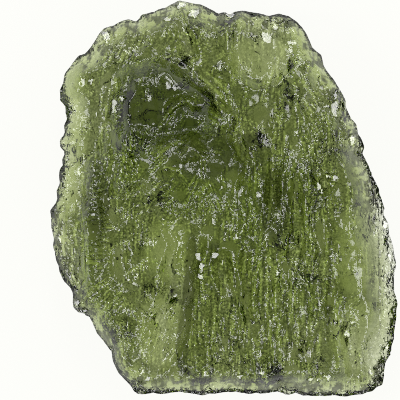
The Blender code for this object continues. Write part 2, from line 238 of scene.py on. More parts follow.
def fine_copy_of(solid, cell):
    """The solid again as two even sheets of fine faces, joined by a few rows along the rim, and the points of
    its outline seen from above."""
    x, y, top, under, whole, tree = sheet_of(solid, cell)
    number = np.full(x.shape, -1)
    used = np.zeros(x.shape, bool)
    for down in (0, 1):
        for right in (0, 1):
            used[down : down + whole.shape[0], right : right + whole.shape[1]] |= whole
    number[used] = np.arange(used.sum())
    count = int(used.sum())
    corners = [number[:-1, :-1][whole], number[:-1, 1:][whole], number[1:, 1:][whole], number[1:, :-1][whole]]
    cells = np.stack(corners, axis=1)
    # A side that belongs to one cell only lies on the outline, and its points move onto the solid's own edge.
    sides = np.concatenate([cells[:, [i, (i + 1) % 4]] for i in range(4)])
    known = {(a, b) for a, b in sides.tolist()}
    edge = [(a, b) for a, b in known if (b, a) not in known]
    points = np.stack([x[used], y[used]], axis=1)
    levels = np.stack([top[used], under[used]], axis=1)
    on_edge = sorted({a for a, _ in edge})
    for a in on_edge:
        middle = Vector((points[a, 0], points[a, 1], levels[a].mean()))
        nearest, _, _, _ = tree.find_nearest(middle)
        points[a] = nearest.x, nearest.y
    # The top, the underside, and the rows of the rim between them
    sheet_top = np.column_stack([points, levels[:, 0]])
    sheet_under = np.column_stack([points, levels[:, 1]])
    between = []
    first = {a: 2 * count + i * (RIM_ROWS - 1) for i, a in enumerate(on_edge)}
    for a in on_edge:
        for step in range(1, RIM_ROWS):
            between.append(sheet_top[a] + (sheet_under[a] - sheet_top[a]) * step / RIM_ROWS)
    faces = cells.tolist() + (cells[:, ::-1] + count).tolist()
    for a, b in edge:
        chain = [[c] + [first[c] + step for step in range(RIM_ROWS - 1)] + [c + count] for c in (a, b)]
        for step in range(RIM_ROWS):
            faces.append([chain[1][step], chain[0][step], chain[0][step + 1], chain[1][step + 1]])
    mesh = bpy.data.meshes.new("stone")
    mesh.from_pydata(np.concatenate([sheet_top, sheet_under, np.array(between)]).tolist(), [], faces)
    copy = bpy.data.objects.new("stone", mesh)
    scene.collection.objects.link(copy)
    lower = copy.vertex_groups.new(name="underside")
    lower.add(range(count, 2 * count), 1.0, "REPLACE")
    mark_soft_places(copy, points, points[on_edge])
    return copy, points[on_edge]


def finish_mesh(obj):
    """Puts the result of the object's modifiers in the place of its mesh."""
    graph = bpy.context.evaluated_depsgraph_get()
    finished = bpy.data.meshes.new_from_object(obj.evaluated_get(graph))
    obj.modifiers.clear()
    obj.data = finished


stone, outline = fine_copy_of(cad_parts["moldavite"], CELL)
stone.name = "moldavite_stone"
thin_out = stone.modifiers.new("fewer faces below", "DECIMATE")
thin_out.vertex_group = "underside"
thin_out.ratio = TRIANGLES / (2 * len(stone.data.polygons))  # each face has four sides, so two triangles
for place, rounds in (("away from the rim", SOFTENING), ("step inside the right lip", STEP_SOFTENING)):
    soften = stone.modifiers.new(place, "SMOOTH")
    soften.factor = SOFTENING_REACH
    soften.iterations = rounds
    soften.vertex_group = place
finish_mesh(stone)


def points_and_normals(mesh):
    """The points of the mesh and the directions it faces there, one row for each point."""
    count = len(mesh.vertices)
    points = np.empty(count * 3, np.float32)
    normals = np.empty(count * 3, np.float32)
    mesh.vertices.foreach_get("co", points)
    mesh.vertex_normals.foreach_get("vector", normals)
    return points.reshape(-1, 3).astype(float), normals.reshape(-1, 3).astype(float)


# Each pattern of the noise has a layer of its own.
LAYERS = {
    "flow": 5,
    "lines": 11,
    "streaks": 12,
    "rib bends": 31,
    "small rib bends": 32,
    "rib heights": 33,
    "layered edge": 41,
    "cups": 51,
    "patch x": 61,
    "patch y": 62,
    "glint x": 63,
    "glint y": 64,
    "chip x": 65,
    "chip y": 66,
    "strength": 71,
    "chip_shade": 81,
}

# Where the flow lines of the glass run, read from the top of the stone: middle x and y, half width and half
# length, and the direction of the lines in degrees from the right. Away from these they run along the stone.
FLOW = (
    (-11.4, -3.5, 1.6, 5.5, 2),
    (-10.6, -9.5, 1.8, 2.0, 38),
    (-8.6, -14.0, 2.0, 2.0, -50),
    (-5.6, -12.0, 2.0, 3.0, 68),
    (-9.0, 12.5, 3.0, 2.0, 50),
    (-3.0, 13.0, 4.0, 1.5, 20),
    (-2.0, 9.5, 2.0, 1.2, -35),
    (8.4, 8.6, 1.6, 3.0, -60),
    (-5.4, 7.0, 2.5, 2.0, 45),
    (-1.2, 7.4, 2.0, 1.5, -20),
    (-5.0, 4.2, 2.0, 1.4, 30),
    (-1.5, 4.9, 2.6, 1.4, -5),
    (-5.0, 0.5, 3.0, 2.5, 30),
    (0.0, 0.5, 2.5, 2.0, 120),
)
FLOW_PULL = 3  # how much more a listed place counts at its middle than the run along the stone
FLOW_FALL = 1.5  # how fast that falls off
FLOW_WANDER = 0.35  # radians by which the lines stray from that direction
FLOW_WANDER_SIZE = (2.3, 4.0)  # lengths across and along the stone over which they stray
DRAWN_STEPS = 6  # steps by which a line is drawn out each way
DRAWN_STEP = 0.6  # length of one step, in widths of the line


def flow_direction(x, y):
    """Unit direction of the flow lines at each point. A line has no front end, so the doubled angles are
    added up and halved again."""
    along, across = -np.ones(len(x)), np.zeros(len(x))
    for middle_x, middle_y, half_width, half_length, degrees in FLOW:
        share = np.hypot((x - middle_x) / half_width, (y - middle_y) / half_length)
        weight = FLOW_PULL * np.exp(-(share**2) * FLOW_FALL)
        along += weight * math.cos(2 * math.radians(degrees))
        across += weight * math.sin(2 * math.radians(degrees))
    wander = FLOW_WANDER * grain(x, y, *FLOW_WANDER_SIZE, LAYERS["flow"])
    half_turn = np.arctan2(across, along) / 2 + wander
    return np.cos(half_turn), np.sin(half_turn)


def drawn_out(x, y, size, layer):
    """Noise of one size drawn out along the flow lines, so that it forms lines of that width."""
    total = grain(x, y, size, size, layer)
    for way in (1, -1):
        at_x, at_y = x.copy(), y.copy()
        for _ in range(DRAWN_STEPS):
            run_x, run_y = flow_direction(at_x, at_y)
            at_x += way * run_x * size * DRAWN_STEP
            at_y += way * run_y * size * DRAWN_STEP
            total += grain(at_x, at_y, size, size, layer)
    return total / math.sqrt(2 * DRAWN_STEPS + 1)


# Patches that stayed smooth: middle x and y, half width and half length
SMOOTH_PATCHES = (
    (-9.6, -5.8, 0.73, 1.55),
    (-5.1, -4.4, 1.18, 1.36),
    (-1.5, -3.3, 0.55, 0.91),
    (0.4, -4.3, 0.82, 0.45),
    (8.7, -3.4, 0.55, 1.82),
    (10.5, -1.8, 0.55, 0.55),
    (5.5, -6.2, 0.45, 0.55),
    (9.7, -9.2, 0.45, 0.55),
    (11.6, -4.7, 0.64, 1.45),
    (11.3, -7.6, 0.73, 1.09),
    (0.4, -8.5, 0.64, 0.82),
    (0.5, -12.9, 1.0, 0.36),
    (-10.6, 0.0, 0.55, 0.64),
    (-11.7, -2.9, 0.64, 0.91),
    (-3.2, -9.2, 0.45, 4.09),
    (-10.2, -1.5, 0.45, 0.73),
    (-13.5, 0.3, 0.45, 0.82),
    (12.9, -8.5, 0.55, 1.27),
    (13.1, -12.4, 0.64, 1.27),
    (-5.0, 10.8, 0.91, 1.64),
    (-3.1, 9.8, 0.55, 0.64),
    (-6.5, 7.8, 1.09, 1.27),
    (-3.1, 6.7, 0.45, 1.0),
    (-8.4, 8.2, 0.73, 0.91),
    (-8.1, 9.9, 0.55, 0.73),
    (-6.7, 15.2, 0.73, 0.64),
    (-10.5, 10.6, 0.73, 0.73),
    (0.3, 5.7, 0.55, 0.64),
    (3.4, 7.6, 0.64, 1.0),
    (3.8, 11.7, 0.82, 1.0),
    (6.5, 4.2, 0.36, 1.18),
    (-7.1, 3.5, 0.55, 0.91),
    (-4.5, 3.2, 0.82, 0.82),
    (-7.0, 1.2, 0.45, 0.82),
    (-0.8, 3.0, 0.73, 0.91),
    (1.0, 2.1, 0.82, 0.64),
    (6.2, 0.8, 0.55, 0.91),
    (4.2, -3.3, 0.64, 0.73),
    (-13.8, 9.7, 0.73, 1.45),
    (-4.2, 0.3, 0.64, 0.45),
    (-6.0, -9.2, 0.82, 0.55),
    (6.9, -14.0, 1.27, 0.64),
    (6.0, -15.4, 0.91, 0.36),
    (-4.5, -16.0, 0.45, 0.64),
    (1.9, -9.2, 0.45, 0.73),
    (-9.9, 5.3, 0.64, 0.55),
    (11.9, 1.7, 0.73, 0.82),
)

# Patches that were etched the most, listed the same way
BUSY_PATCHES = (
    (-6.2, 12.3, 0.55, 0.73),
    (-4.6, 11.2, 0.45, 0.36),
    (-3.4, 10.7, 0.55, 0.36),
    (-6.6, 6.2, 0.91, 0.36),
    (-4.0, 4.3, 0.36, 0.45),
    (-2.1, 4.0, 0.73, 0.45),
    (-0.7, 6.7, 0.82, 0.45),
    (1.9, 9.6, 0.36, 0.55),
    (6.2, 9.9, 0.45, 0.55),
    (8.9, 6.4, 0.45, 0.82),
    (7.5, 4.7, 0.82, 1.55),
    (10.1, 4.1, 0.36, 0.55),
    (0.4, -0.9, 0.82, 0.64),
    (3.5, 0.8, 0.73, 0.64),
    (-1.7, -8.3, 0.55, 1.27),
    (7.4, -3.0, 0.45, 1.09),
    (9.6, 1.9, 0.82, 0.73),
    (10.2, -1.0, 0.36, 0.36),
    (-2.2, -5.8, 0.55, 1.27),
    (2.4, -6.9, 0.73, 0.82),
    (-9.3, -3.8, 0.73, 0.91),
    (-6.9, -3.8, 0.82, 1.09),
    (11.5, -11.8, 0.82, 0.73),
    (0.7, -11.5, 0.36, 1.09),
    (-1.7, -15.8, 0.82, 0.64),
    (2.4, -16.0, 1.27, 0.45),
    (8.7, -16.3, 1.45, 0.55),
    (-8.5, -0.1, 0.82, 2.0),
    (-4.7, -2.1, 1.09, 0.55),
    (-4.9, 0.0, 1.09, 0.55),
    (3.7, -5.8, 1.27, 0.64),
    (6.7, -5.4, 0.91, 0.45),
    (0.1, -6.0, 0.64, 0.55),
    (-1.7, -12.4, 0.73, 1.45),
    (-8.7, -12.9, 0.73, 1.45),
    (3.5, -4.2, 0.73, 0.55),
    (7.8, -1.5, 0.64, 0.73),
    (-11.1, -7.9, 0.82, 0.55),
    (-10.9, 2.4, 0.73, 0.55),
    (-8.1, 2.6, 0.64, 1.09),
)

# Areas where the glass is cleanest, listed the same way
CLEAR_AREAS = (
    (-5.6, -12.0, 2.4, 3.6),
    (3.6, 12.4, 3.6, 2.4),
    (12.0, -12.5, 2.6, 3.6),
    (14.6, -6.0, 1.0, 9.0),
    (-5.0, -4.6, 2.4, 3.0),
    (11.8, -5.0, 1.8, 4.0),
    (-14.0, 6.0, 1.8, 8.0),
)

# Areas that are painted darker, listed the same way. The first is painted shade along the line of the right
# step.
DARK_AREAS = (
    (14.1, -7.6, 0.16, 5.6),
    (-5.5, 8.5, 4.6, 4.2),
    (-2.9, -6.0, 0.7, 3.0),
    (-3.3, -9.5, 0.75, 3.4),
    (-3.8, -13.5, 0.6, 3.6),
    (-1.8, 4.0, 3.6, 2.4),
    (-11.4, 0.0, 1.2, 4.0),
    (2.0, 4.0, 1.6, 2.2),
    (5.5, -16.6, 1.2, 0.7),
    (-0.9, -5.0, 0.5, 1.0),
    (4.6, -0.5, 1.6, 3.6),
)

# Ribs left by the flow: middle x and y, half width and half length, the way they run in degrees from the
# right, their spacing and their height
RIBS = (
    (6.6, -7.5, 4.8, 9.0, 90, 1.2, 0.15),
    (6.0, 2.0, 5.0, 4.5, 84, 0.8, 0.08),
    (-13.6, -1.5, 1.0, 6.0, 88, 0.38, 0.06),
    (-11.4, -1.5, 1.2, 5.2, 2, 0.58, 0.12),
    (-10.7, -9.3, 1.6, 2.2, 38, 0.5, 0.09),
    (-5.6, -12.2, 2.4, 3.6, 66, 0.42, 0.05),
    (-12.8, -9.0, 1.4, 2.2, 50, 0.7, 0.05),
    (0.5, -13.5, 3.0, 3.0, 92, 0.7, 0.06),
)


PATCH_WAVE = (0.15, 0.8)  # how far the outlines of the patches stray, and over what length
PATCH_FADE = (0.75, 1.1)  # shares of the half width and half length between which a patch fades out
RIB_FADE = (0.7, 1.1)
RIB_WANDER = 0.6  # spacings by which the ribs stray
RIB_BEND_SIZE = (2.0, 4.0)
SMALL_BEND = 0.4  # how much the small bends count beside the large ones
SMALL_BEND_SIZE = (0.7, 1.2)
RIB_HEIGHT_SIZE = (1.0, 1.6)


def shifted(x, y, reach, size, name):
    """The same points pushed about by smooth noise, which makes straight or round outlines wavy."""
    by_x = reach * grain(x, y, size, size, LAYERS[f"{name} x"])
    by_y = reach * grain(x, y, size, size, LAYERS[f"{name} y"])
    return x + by_x, y + by_y


def zigzag(place):
    """A wave of straight flanks that runs from 1 down to 0 and back over each whole number."""
    return np.abs(2 * (place - np.floor(place)) - 1)


def share_of(x, y, patches):
    """1 on the listed patches, falling to 0 just outside their wavy outlines."""
    wavy_x, wavy_y = shifted(x, y, *PATCH_WAVE, "patch")
    total = np.zeros(len(x))
    for middle_x, middle_y, half_width, half_length in patches:
        share = np.hypot((wavy_x - middle_x) / half_width, (wavy_y - middle_y) / half_length)
        total = np.maximum(total, 1 - smooth(share, *PATCH_FADE))
    return total


def ribbed(x, y):
    """Height of the listed ribs, which bend a little and change in height along their way."""
    bend = grain(x, y, *RIB_BEND_SIZE, LAYERS["rib bends"])
    bend += SMALL_BEND * grain(x, y, *SMALL_BEND_SIZE, LAYERS["small rib bends"])
    change = 1 + grain(x, y, *RIB_HEIGHT_SIZE, LAYERS["rib heights"])
    total = np.zeros(len(x))
    for middle_x, middle_y, half_width, half_length, degrees, spacing, height in RIBS:
        turn = math.radians(degrees)
        across = (y - middle_y) * math.cos(turn) - (x - middle_x) * math.sin(turn)
        wave = zigzag(across / spacing + RIB_WANDER * bend)
        share = np.hypot((x - middle_x) / half_width, (y - middle_y) / half_length)
        total += (1 - smooth(share, *RIB_FADE)) * height * (wave - 0.5) * change
    return total


# Grooves of their own: half width, and the points that they run through
STROKES = (
    (0.24, (-13.0, -2.14), (-12.82, -3.77), (-12.68, -5.59), (-12.73, -7.32)),
    (0.18, (-12.45, -3.41), (-12.36, -5.41), (-12.36, -7.23)),
    (0.18, (-14.27, 0.23), (-14.18, -0.86), (-14.27, -1.95)),
    (0.18, (-14.55, -2.14), (-14.73, -3.59), (-14.64, -4.86)),
    (0.18, (-13.73, -4.5), (-13.82, -5.77), (-13.64, -7.14)),
    (0.18, (-13.27, -2.14), (-13.55, -3.23), (-13.36, -4.32)),
    (0.23, (1.09, 6.41), (1.0, 5.32), (1.27, 4.23), (2.0, 3.23)),
    (0.23, (1.55, 6.23), (1.55, 5.14), (1.91, 4.14), (2.55, 3.23)),
    (0.22, (-2.18, 10.95), (-1.18, 10.23), (-0.18, 9.14)),
    (0.22, (-1.64, 11.32), (-0.64, 10.59), (0.27, 9.59)),
    (0.22, (-5.36, 7.32), (-4.55, 8.14), (-3.55, 8.68), (-2.55, 8.86)),
    (0.2, (-6.0, 3.95), (-5.36, 4.5), (-4.73, 4.86), (-3.82, 5.05)),
    (0.18, (-10.55, 8.5), (-10.73, 7.5), (-10.91, 6.68)),
    (0.18, (-10.91, 6.59), (-11.18, 5.5)),
    (0.18, (-9.82, 10.77), (-9.55, 9.41)),
    (0.18, (-2.0, 0.86), (-1.36, 1.32)),
    (0.22, (-2.64, 0.23), (-2.0, 0.77), (-1.27, 1.32)),
    (0.24, (4.64, -6.14), (4.73, -7.77), (4.64, -9.59)),
    (0.24, (6.0, -6.5), (6.09, -8.86), (6.0, -11.23)),
    (0.2, (3.18, -5.77), (3.36, -7.41), (3.27, -9.23)),
    (0.2, (3.82, -6.68), (3.91, -8.86)),
    (0.2, (7.64, -2.32), (7.82, -3.77), (7.64, -4.86)),
    (0.2, (7.0, -2.68), (6.91, -4.14), (6.55, -5.05)),
    (0.16, (2.55, 2.14), (2.45, 1.05)),
    (0.16, (2.91, 2.23), (2.73, 0.95)),
    (0.16, (5.82, 1.68), (5.91, 0.68)),
    (0.18, (6.91, 10.59), (7.64, 9.86), (8.27, 9.14)),
    (0.18, (7.18, 8.95), (7.64, 8.14), (8.0, 7.32)),
    (0.18, (5.18, 8.95), (5.18, 7.77), (5.09, 6.68)),
    (0.18, (4.64, 8.5), (4.82, 7.5), (5.0, 6.59)),
    (0.22, (4.0, 10.32), (4.45, 11.68), (5.09, 12.95), (5.64, 13.68)),
    (0.2, (0.73, -10.68), (0.82, -12.32)),
    (0.18, (9.0, -5.77), (9.0, -6.86)),
    (0.18, (14.18, -0.14), (14.14, -3.77), (14.18, -7.41), (14.09, -10.14), (14.18, -13.32), (14.0, -15.59)),
    (0.2, (14.55, -10.14), (14.64, -11.5), (14.45, -13.32)),
    (0.18, (-0.82, -10.86), (-0.91, -12.32)),
    (0.2, (9.91, -10.32), (10.36, -9.23)),
    (0.2, (-10.27, -13.41), (-10.0, -14.05)),
    (0.18, (-3.82, -5.59), (-3.73, -7.41), (-3.82, -9.05)),
    (0.18, (-2.55, -9.23), (-2.91, -11.05), (-3.09, -13.32)),
    (0.2, (-5.36, 2.77), (-4.18, 2.59), (-3.73, 1.86)),
    (0.18, (-14.73, 1.68), (-14.18, 0.77)),
    (0.18, (-14.55, 3.05), (-14.36, 1.86)),
    (0.16, (11.91, -2.68), (11.45, -1.5)),
    (0.18, (-8.64, -6.68), (-7.64, -6.05), (-6.91, -5.41)),
    (0.18, (-9.09, -4.14), (-8.36, -3.68)),
)

# Small flat faces that catch a light: middle x and y, half width and half length, and the way they face
GLINTS = (
    (8.5, 1.14, 0.24, 0.41, 90),
    (8.82, 0.59, 0.24, 0.32, 90),
    (-0.86, -5.09, 0.36, 0.36, 90),
    (-0.27, -5.77, 0.27, 0.45, 180),
    (-2.36, -5.32, 0.27, 0.45, 180),
    (-2.0, -6.23, 0.23, 0.55, 180),
    (-2.14, -7.05, 0.27, 0.36, 90),
    (1.09, -3.41, 0.24, 0.36, 180),
    (-3.91, 17.5, 0.55, 0.36, 90),
    (-2.73, 16.77, 0.55, 0.45, 90),
    (0.55, 16.68, 0.41, 0.27, 90),
    (4.64, 15.5, 0.27, 0.36, 90),
    (3.82, 14.59, 0.45, 0.64, 90),
    (10.82, 8.41, 0.27, 0.45, 180),
    (10.0, 8.14, 0.36, 0.82, 90),
    (-13.18, 2.41, 0.16, 0.41, 180),
    (-10.64, 14.68, 0.36, 0.64, 180),
    (-9.91, 8.32, 0.27, 0.82, 180),
    (-9.18, 8.86, 0.27, 0.36, 90),
    (7.82, -16.41, 0.27, 0.27, 180),
    (8.55, -16.23, 0.36, 0.27, 90),
    (9.36, -16.14, 0.36, 0.27, 180),
    (10.0, 1.86, 0.36, 0.36, 90),
    (9.36, 2.05, 0.27, 0.27, 90),
    (9.73, 1.32, 0.27, 0.27, 90),
    (-13.27, -9.5, 0.18, 0.45, 180),
    (-12.73, -10.23, 0.36, 0.23, 180),
    (11.09, -12.23, 0.36, 0.27, 90),
    (11.64, -11.23, 0.27, 0.27, 90),
    (8.64, -9.5, 0.18, 0.27, 180),
    (10.0, -8.77, 0.15, 0.15, 90),
    (-11.55, 7.59, 0.18, 0.32, 180),
    (-12.73, 10.5, 0.18, 0.45, 180),
    (-12.0, 10.5, 0.18, 0.45, 90),
    (6.09, 14.05, 0.45, 0.27, 90),
    (-5.09, 16.23, 0.55, 0.23, 90),
    (-14.91, -3.77, 0.18, 0.45, 180),
    (-8.45, 4.41, 0.27, 0.18, 90),
    (3.09, 0.32, 0.23, 0.27, 90),
    (4.82, -6.68, 0.27, 0.27, 90),
    (-0.18, 0.95, 0.18, 0.18, 90),
    (-6.91, -16.32, 0.36, 0.27, 180),
    (-7.36, -15.68, 0.27, 0.36, 180),
    (-1.73, -15.77, 0.27, 0.45, 180),
    (13.27, -15.77, 0.27, 0.27, 90),
    (15.27, -9.23, 0.23, 0.55, 180),
    (15.09, -5.41, 0.23, 0.45, 90),
    (14.64, -2.41, 0.23, 0.36, 90),
    (1.45, -16.05, 0.36, 0.23, 90),
    (3.45, -15.77, 0.27, 0.27, 180),
    (11.64, 5.32, 0.27, 0.55, 90),
    (12.18, 4.41, 0.27, 0.45, 180),
    (10.09, 9.41, 0.27, 0.45, 90),
)
GLINT_LEAN = math.tan(math.radians(25))  # slope that sends a key lamp's light straight up
GLINT_WAVE = (0.2, 0.4)
GLINT_FADE = (0.85, 1.15)

# Large areas that were etched more than the rest: middle x and y, half width and half length
BUSY_AREAS = (
    (-8.2, 11.6, 1.8, 1.2),
    (-9.4, 7.6, 0.8, 3.0),
    (5.5, -3.5, 5.0, 9.0),
    (-7.8, 1.0, 2.2, 5.5),
    (-1.0, -10.0, 2.5, 5.0),
    (-10.6, -9.5, 2.0, 3.0),
    (-11.3, 1.0, 1.4, 4.5),
    (8.0, 4.0, 2.0, 4.0),
    (-4.0, -0.5, 3.0, 2.5),
    (2.0, -15.0, 7.0, 1.5),
)


def grooved(x, y):
    """Depth of the single grooves, and how far into one each point is, from 0 to 1."""
    depth, inside = np.zeros(len(x)), np.zeros(len(x))
    for half_width, *points in STROKES:
        away = np.full(len(x), np.inf)
        for (from_x, from_y), (to_x, to_y) in zip(points, points[1:]):
            run_x, run_y = to_x - from_x, to_y - from_y
            share = ((x - from_x) * run_x + (y - from_y) * run_y) / (run_x**2 + run_y**2)
            share = np.clip(share, 0, 1)
            away = np.minimum(away, np.hypot(x - from_x - share * run_x, y - from_y - share * run_y))
        share = np.clip(1 - away / half_width, 0, 1)
        depth = np.minimum(depth, -GLINT_LEAN * half_width * share)
        inside = np.maximum(inside, share)
    return depth, inside


def catch_lights(points, top):
    """Turns the listed small faces so that each sends one light straight up."""
    x, y = points[:, 0] / MM, points[:, 1] / MM
    wavy_x, wavy_y = shifted(x, y, *GLINT_WAVE, "glint")
    for middle_x, middle_y, half_width, half_length, degrees in GLINTS:
        away = np.hypot((wavy_x - middle_x) / half_width, (wavy_y - middle_y) / half_length)
        share = (1 - smooth(away, *GLINT_FADE)) * top
        if share.sum() < 1:
            continue
        turn = math.radians(degrees)
        downhill = (x - middle_x) * math.cos(turn) + (y - middle_y) * math.sin(turn)
        level = (points[:, 2] * share).sum() / share.sum() - GLINT_LEAN * downhill * MM
        points[:, 2] += share * (level - points[:, 2])


def keep_on_points(mesh, name, values):
    """Keeps one number for each point of the mesh, for the material to read."""
    kept = mesh.attributes.new(name, "FLOAT", "POINT")
    kept.data.foreach_set("value", values.astype(np.float32))


# Heights, widths and spacings of the fine relief
LINE_HEIGHT = 0.017
LINE_WIDTH = 0.18
STREAK_HEIGHT = 0.030
STREAK_WIDTH = 0.36
SPECK_HEIGHT = 0.008
UNDER_SPECK_HEIGHT = 0.045
SPECK_SEED = 7
CUP_SPACING = 0.9
CUP_HEIGHT = 0.04
CUP_EDGE = 0.8  # distance from a cup's middle, in spacings, where its level rim begins
UNDER_SHIFT = 40  # the underside takes its patterns from this far off, and so isn't like the top
LEVEL_ENOUGH = 0.3  # glints go on points whose normal stands up by more than this

# How much of the relief is missing: of the lines in the single grooves, on the cleanest glass and in the
# broken edge, of the streaks and ribs on the smooth patches, and of the broken edge on the cleanest glass
GROOVE_CUT = 0.7
CLEAR_CUT = 0.6
CRUST_CUT = 0.7
CALM_CUT = 0.7
CLEAR_CRUST_CUT = 0.3

# How strongly the top was etched: the least and the most, the usual strength, how much that changes from
# place to place and over what lengths, and what the listed patches and areas add
STRENGTH_LIMITS = (0.08, 1.6)
STRENGTH = 0.4
STRENGTH_CHANGE = 1.1
STRENGTH_SIZE = (1.1, 1.5)
BUSY_STRENGTH = 0.8
BUSY_AREA_SHARE = 0.45
MOST_BUSY = 1.3

# The broken edge: flat chips on top of thin layers that follow the outline
CRUST_REACH = (0.8, 2.1)  # distances from the edge between which it fades out
CHIP_SPACING = 0.7
CHIP_WAVE = (0.35, 0.6)
CHIP_LEAN = 0.46  # slope of the steepest chips
LAYER_WIDTH = 0.45
LAYER_HEIGHT = 0.07
LAYER_WANDER = 1.2  # layer widths by which the layers stray from the outline
LAYER_WANDER_SIZE = 1.2

# The flat spot is left as it is. These are the upright shares of the normal and the levels between which the
# relief grows to its full height.
SPOT_NORMALS = (-0.99, -0.97)
SPOT_LEVELS = (0.02, 0.2)

# How much painted speckled shade the surface gets, from 0 to 1: the underside, and how much less the cleanest
# glass gets
UNDER_FINE_SHADE = 0.5
CLEAR_FINE_SHADE_CUT = 0.5

# How much painted shade the surface gets, from 0 to 1, in place of the shade and highlights of the fine
# relief: the usual level, what the raised lines take away as painted highlight, and what the hollows between
# them add as painted shade
SHADE_LEVEL = 0.83
RAISED_CHANGE = 0.8
HOLLOW_CHANGE = 0.15
RAISED_RANGE = (0.3, 1.1)
HOLLOW_RANGE = (0.2, 1.0)
RIB_CHANGE = 0.14  # height of a rib that counts as much as a fine line
CLEAR_SHADE_CUT = 0.25
CLEAR_CHIP_CUT = 0.75
DARKEST_CHIP = 0.97
CHIP_SHARE = 0.9  # how far the painted shade of the chips takes the place of the rest in the broken edge
RIM_LINE = 0.3  # painted shade: how much darker the last stretch of the rim is
RIM_LINE_REACH = (0.05, 0.3)
DARK_AREA_CHANGE = 0.72


def etch(mesh):
    """Presses the fine relief into the stone, and keeps on its points how much painted speckled shade and how
    much painted shade each gets. A number beside a pattern is how much it counts."""
    points, normals = points_and_normals(mesh)
    x, y = points[:, 0] / MM, points[:, 1] / MM
    under = normals[:, 2] < 0
    from_edge = edge_distance(points[:, :2], outline)
    crust = 1 - smooth(from_edge, *CRUST_REACH)
    x = np.where(under, x + UNDER_SHIFT, x)
    calm, clear = share_of(x, y, SMOOTH_PATCHES), share_of(x, y, CLEAR_AREAS)
    busy = share_of(x, y, BUSY_PATCHES) + BUSY_AREA_SHARE * share_of(x, y, BUSY_AREAS)
    busy = np.clip(busy, 0, MOST_BUSY)
    strength = STRENGTH + STRENGTH_CHANGE * grain(x, y, *STRENGTH_SIZE, LAYERS["strength"])
    strength += BUSY_STRENGTH * busy
    strength = np.clip(strength, *STRENGTH_LIMITS) * (1 - calm)

    # The relief, as a height along the normals
    lines = drawn_out(x, y, LINE_WIDTH, LAYERS["lines"])
    streaks = drawn_out(x, y, STREAK_WIDTH, LAYERS["streaks"])
    cups = np.minimum(cupules(x, y, CUP_SPACING, LAYERS["cups"]), CUP_EDGE) - 0.5
    speck = np.random.default_rng(SPECK_SEED).normal(size=len(x))
    depth, inside = grooved(x, y)
    speck_height = np.where(under, UNDER_SPECK_HEIGHT, SPECK_HEIGHT)
    fine = strength * (LINE_HEIGHT * lines + speck_height * speck) * (1 - GROOVE_CUT * inside)
    fine *= (1 - CLEAR_CUT * clear) * (1 - CRUST_CUT * crust)
    fine += STREAK_HEIGHT * streaks * (0.25 + 0.75 * np.clip(strength, 0, 1)) * (1 - CALM_CUT * calm)
    ribs = ribbed(x, y) * (1 - CALM_CUT * calm)
    bent_x, bent_y = shifted(x, y, *CHIP_WAVE, "chip")
    chip_height, chip_tone = facets(bent_x, bent_y, CHIP_SPACING, CHIP_LEAN, LAYERS["chip_shade"])
    stray = LAYER_WANDER * grain(x, y, LAYER_WANDER_SIZE, LAYER_WANDER_SIZE, LAYERS["layered edge"])
    layers = zigzag(from_edge / LAYER_WIDTH + stray) - 0.5
    broken = crust * (chip_height + LAYER_HEIGHT * layers) * normals[:, 2] ** 2
    broken *= 1 - CLEAR_CRUST_CUT * clear
    height = fine + ribs + depth + CUP_HEIGHT * cups + broken
    off_the_spot = smooth(normals[:, 2], *SPOT_NORMALS) + smooth(points[:, 2] / MM, *SPOT_LEVELS)
    points += normals * (height * MM * np.clip(off_the_spot, 0, 1))[:, None]
    catch_lights(points, normals[:, 2] > LEVEL_ENOUGH)
    mesh.vertices.foreach_set("co", points.ravel().astype(np.float32))
    mesh.update()

    # The tint: painted speckled shade on the etched glass, and painted shade in the hollows between the
    # raised lines, lighter on the lines and in the single grooves as painted highlight
    # Painted speckled shade: a fine noise tint that stands in for the dark specks the etched relief throws.
    fine_shade = (1 - calm) * (1 - CLEAR_FINE_SHADE_CUT * clear) * (1 - CRUST_CUT * crust) * (0.75 + 0.5 * busy)
    keep_on_points(mesh, "fine_shade", np.where(under, UNDER_FINE_SHADE, fine_shade))
    # Painted shade: darker in the hollows between the raised lines, lighter on the lines and in the single
    # grooves as painted highlight.
    raised = (1.6 * lines + 0.5 * speck) * np.clip(strength + 0.3, 0, 1.2) + 0.35 * streaks
    raised = (raised + ribs / RIB_CHANGE) * (1 - 0.9 * calm) + 1.2 * inside
    painted_shade = SHADE_LEVEL - RAISED_CHANGE * smooth(raised, *RAISED_RANGE)
    painted_shade += HOLLOW_CHANGE * smooth(-raised, *HOLLOW_RANGE)
    painted_shade *= 1 - CLEAR_SHADE_CUT * clear
    # Painted shade of the broken edge: dark chips and layers where steep faces would turn the light of the
    # table away.
    chip_shade = 3 * chip_tone - 0.8 - 1.3 * layers - 1.2 * streaks - 0.8 * lines + 0.2 * speck
    chip_shade = np.clip(chip_shade, 0, DARKEST_CHIP) * (1 - CLEAR_CHIP_CUT * clear)
    painted_shade += (chip_shade - painted_shade) * CHIP_SHARE * crust
    # Painted shade: a darker line along the last stretch of the rim.
    painted_shade += (1 - painted_shade) * RIM_LINE * (1 - smooth(from_edge, *RIM_LINE_REACH))
    # Painted shade along the right step, and a darker tint on the other listed areas.
    painted_shade += (1 - painted_shade) * DARK_AREA_CHANGE * share_of(x, y, DARK_AREAS)
    keep_on_points(mesh, "painted_shade", np.where(under, 0, painted_shade))


etch(stone.data)
stone.data.shade_flat()

GLASS_LOSS = (200, 158, 412)  # absorbed per metre of red, green and blue light
GLASS_IOR = 1.49
GLASS_ROUGHNESS = 0.10
FINE_SHADE_SIZE = 0.18 * MM
FINE_SHADE_SPREAD = (0.42, 0.58)  # noise levels between which the painted speckled shade fades out
FINE_SHADE_TINT = (0.28, 0.33, 0.18)
SHADE_TINT = (0.01, 0.012, 0.003)  # the darkest painted shade of the hollows
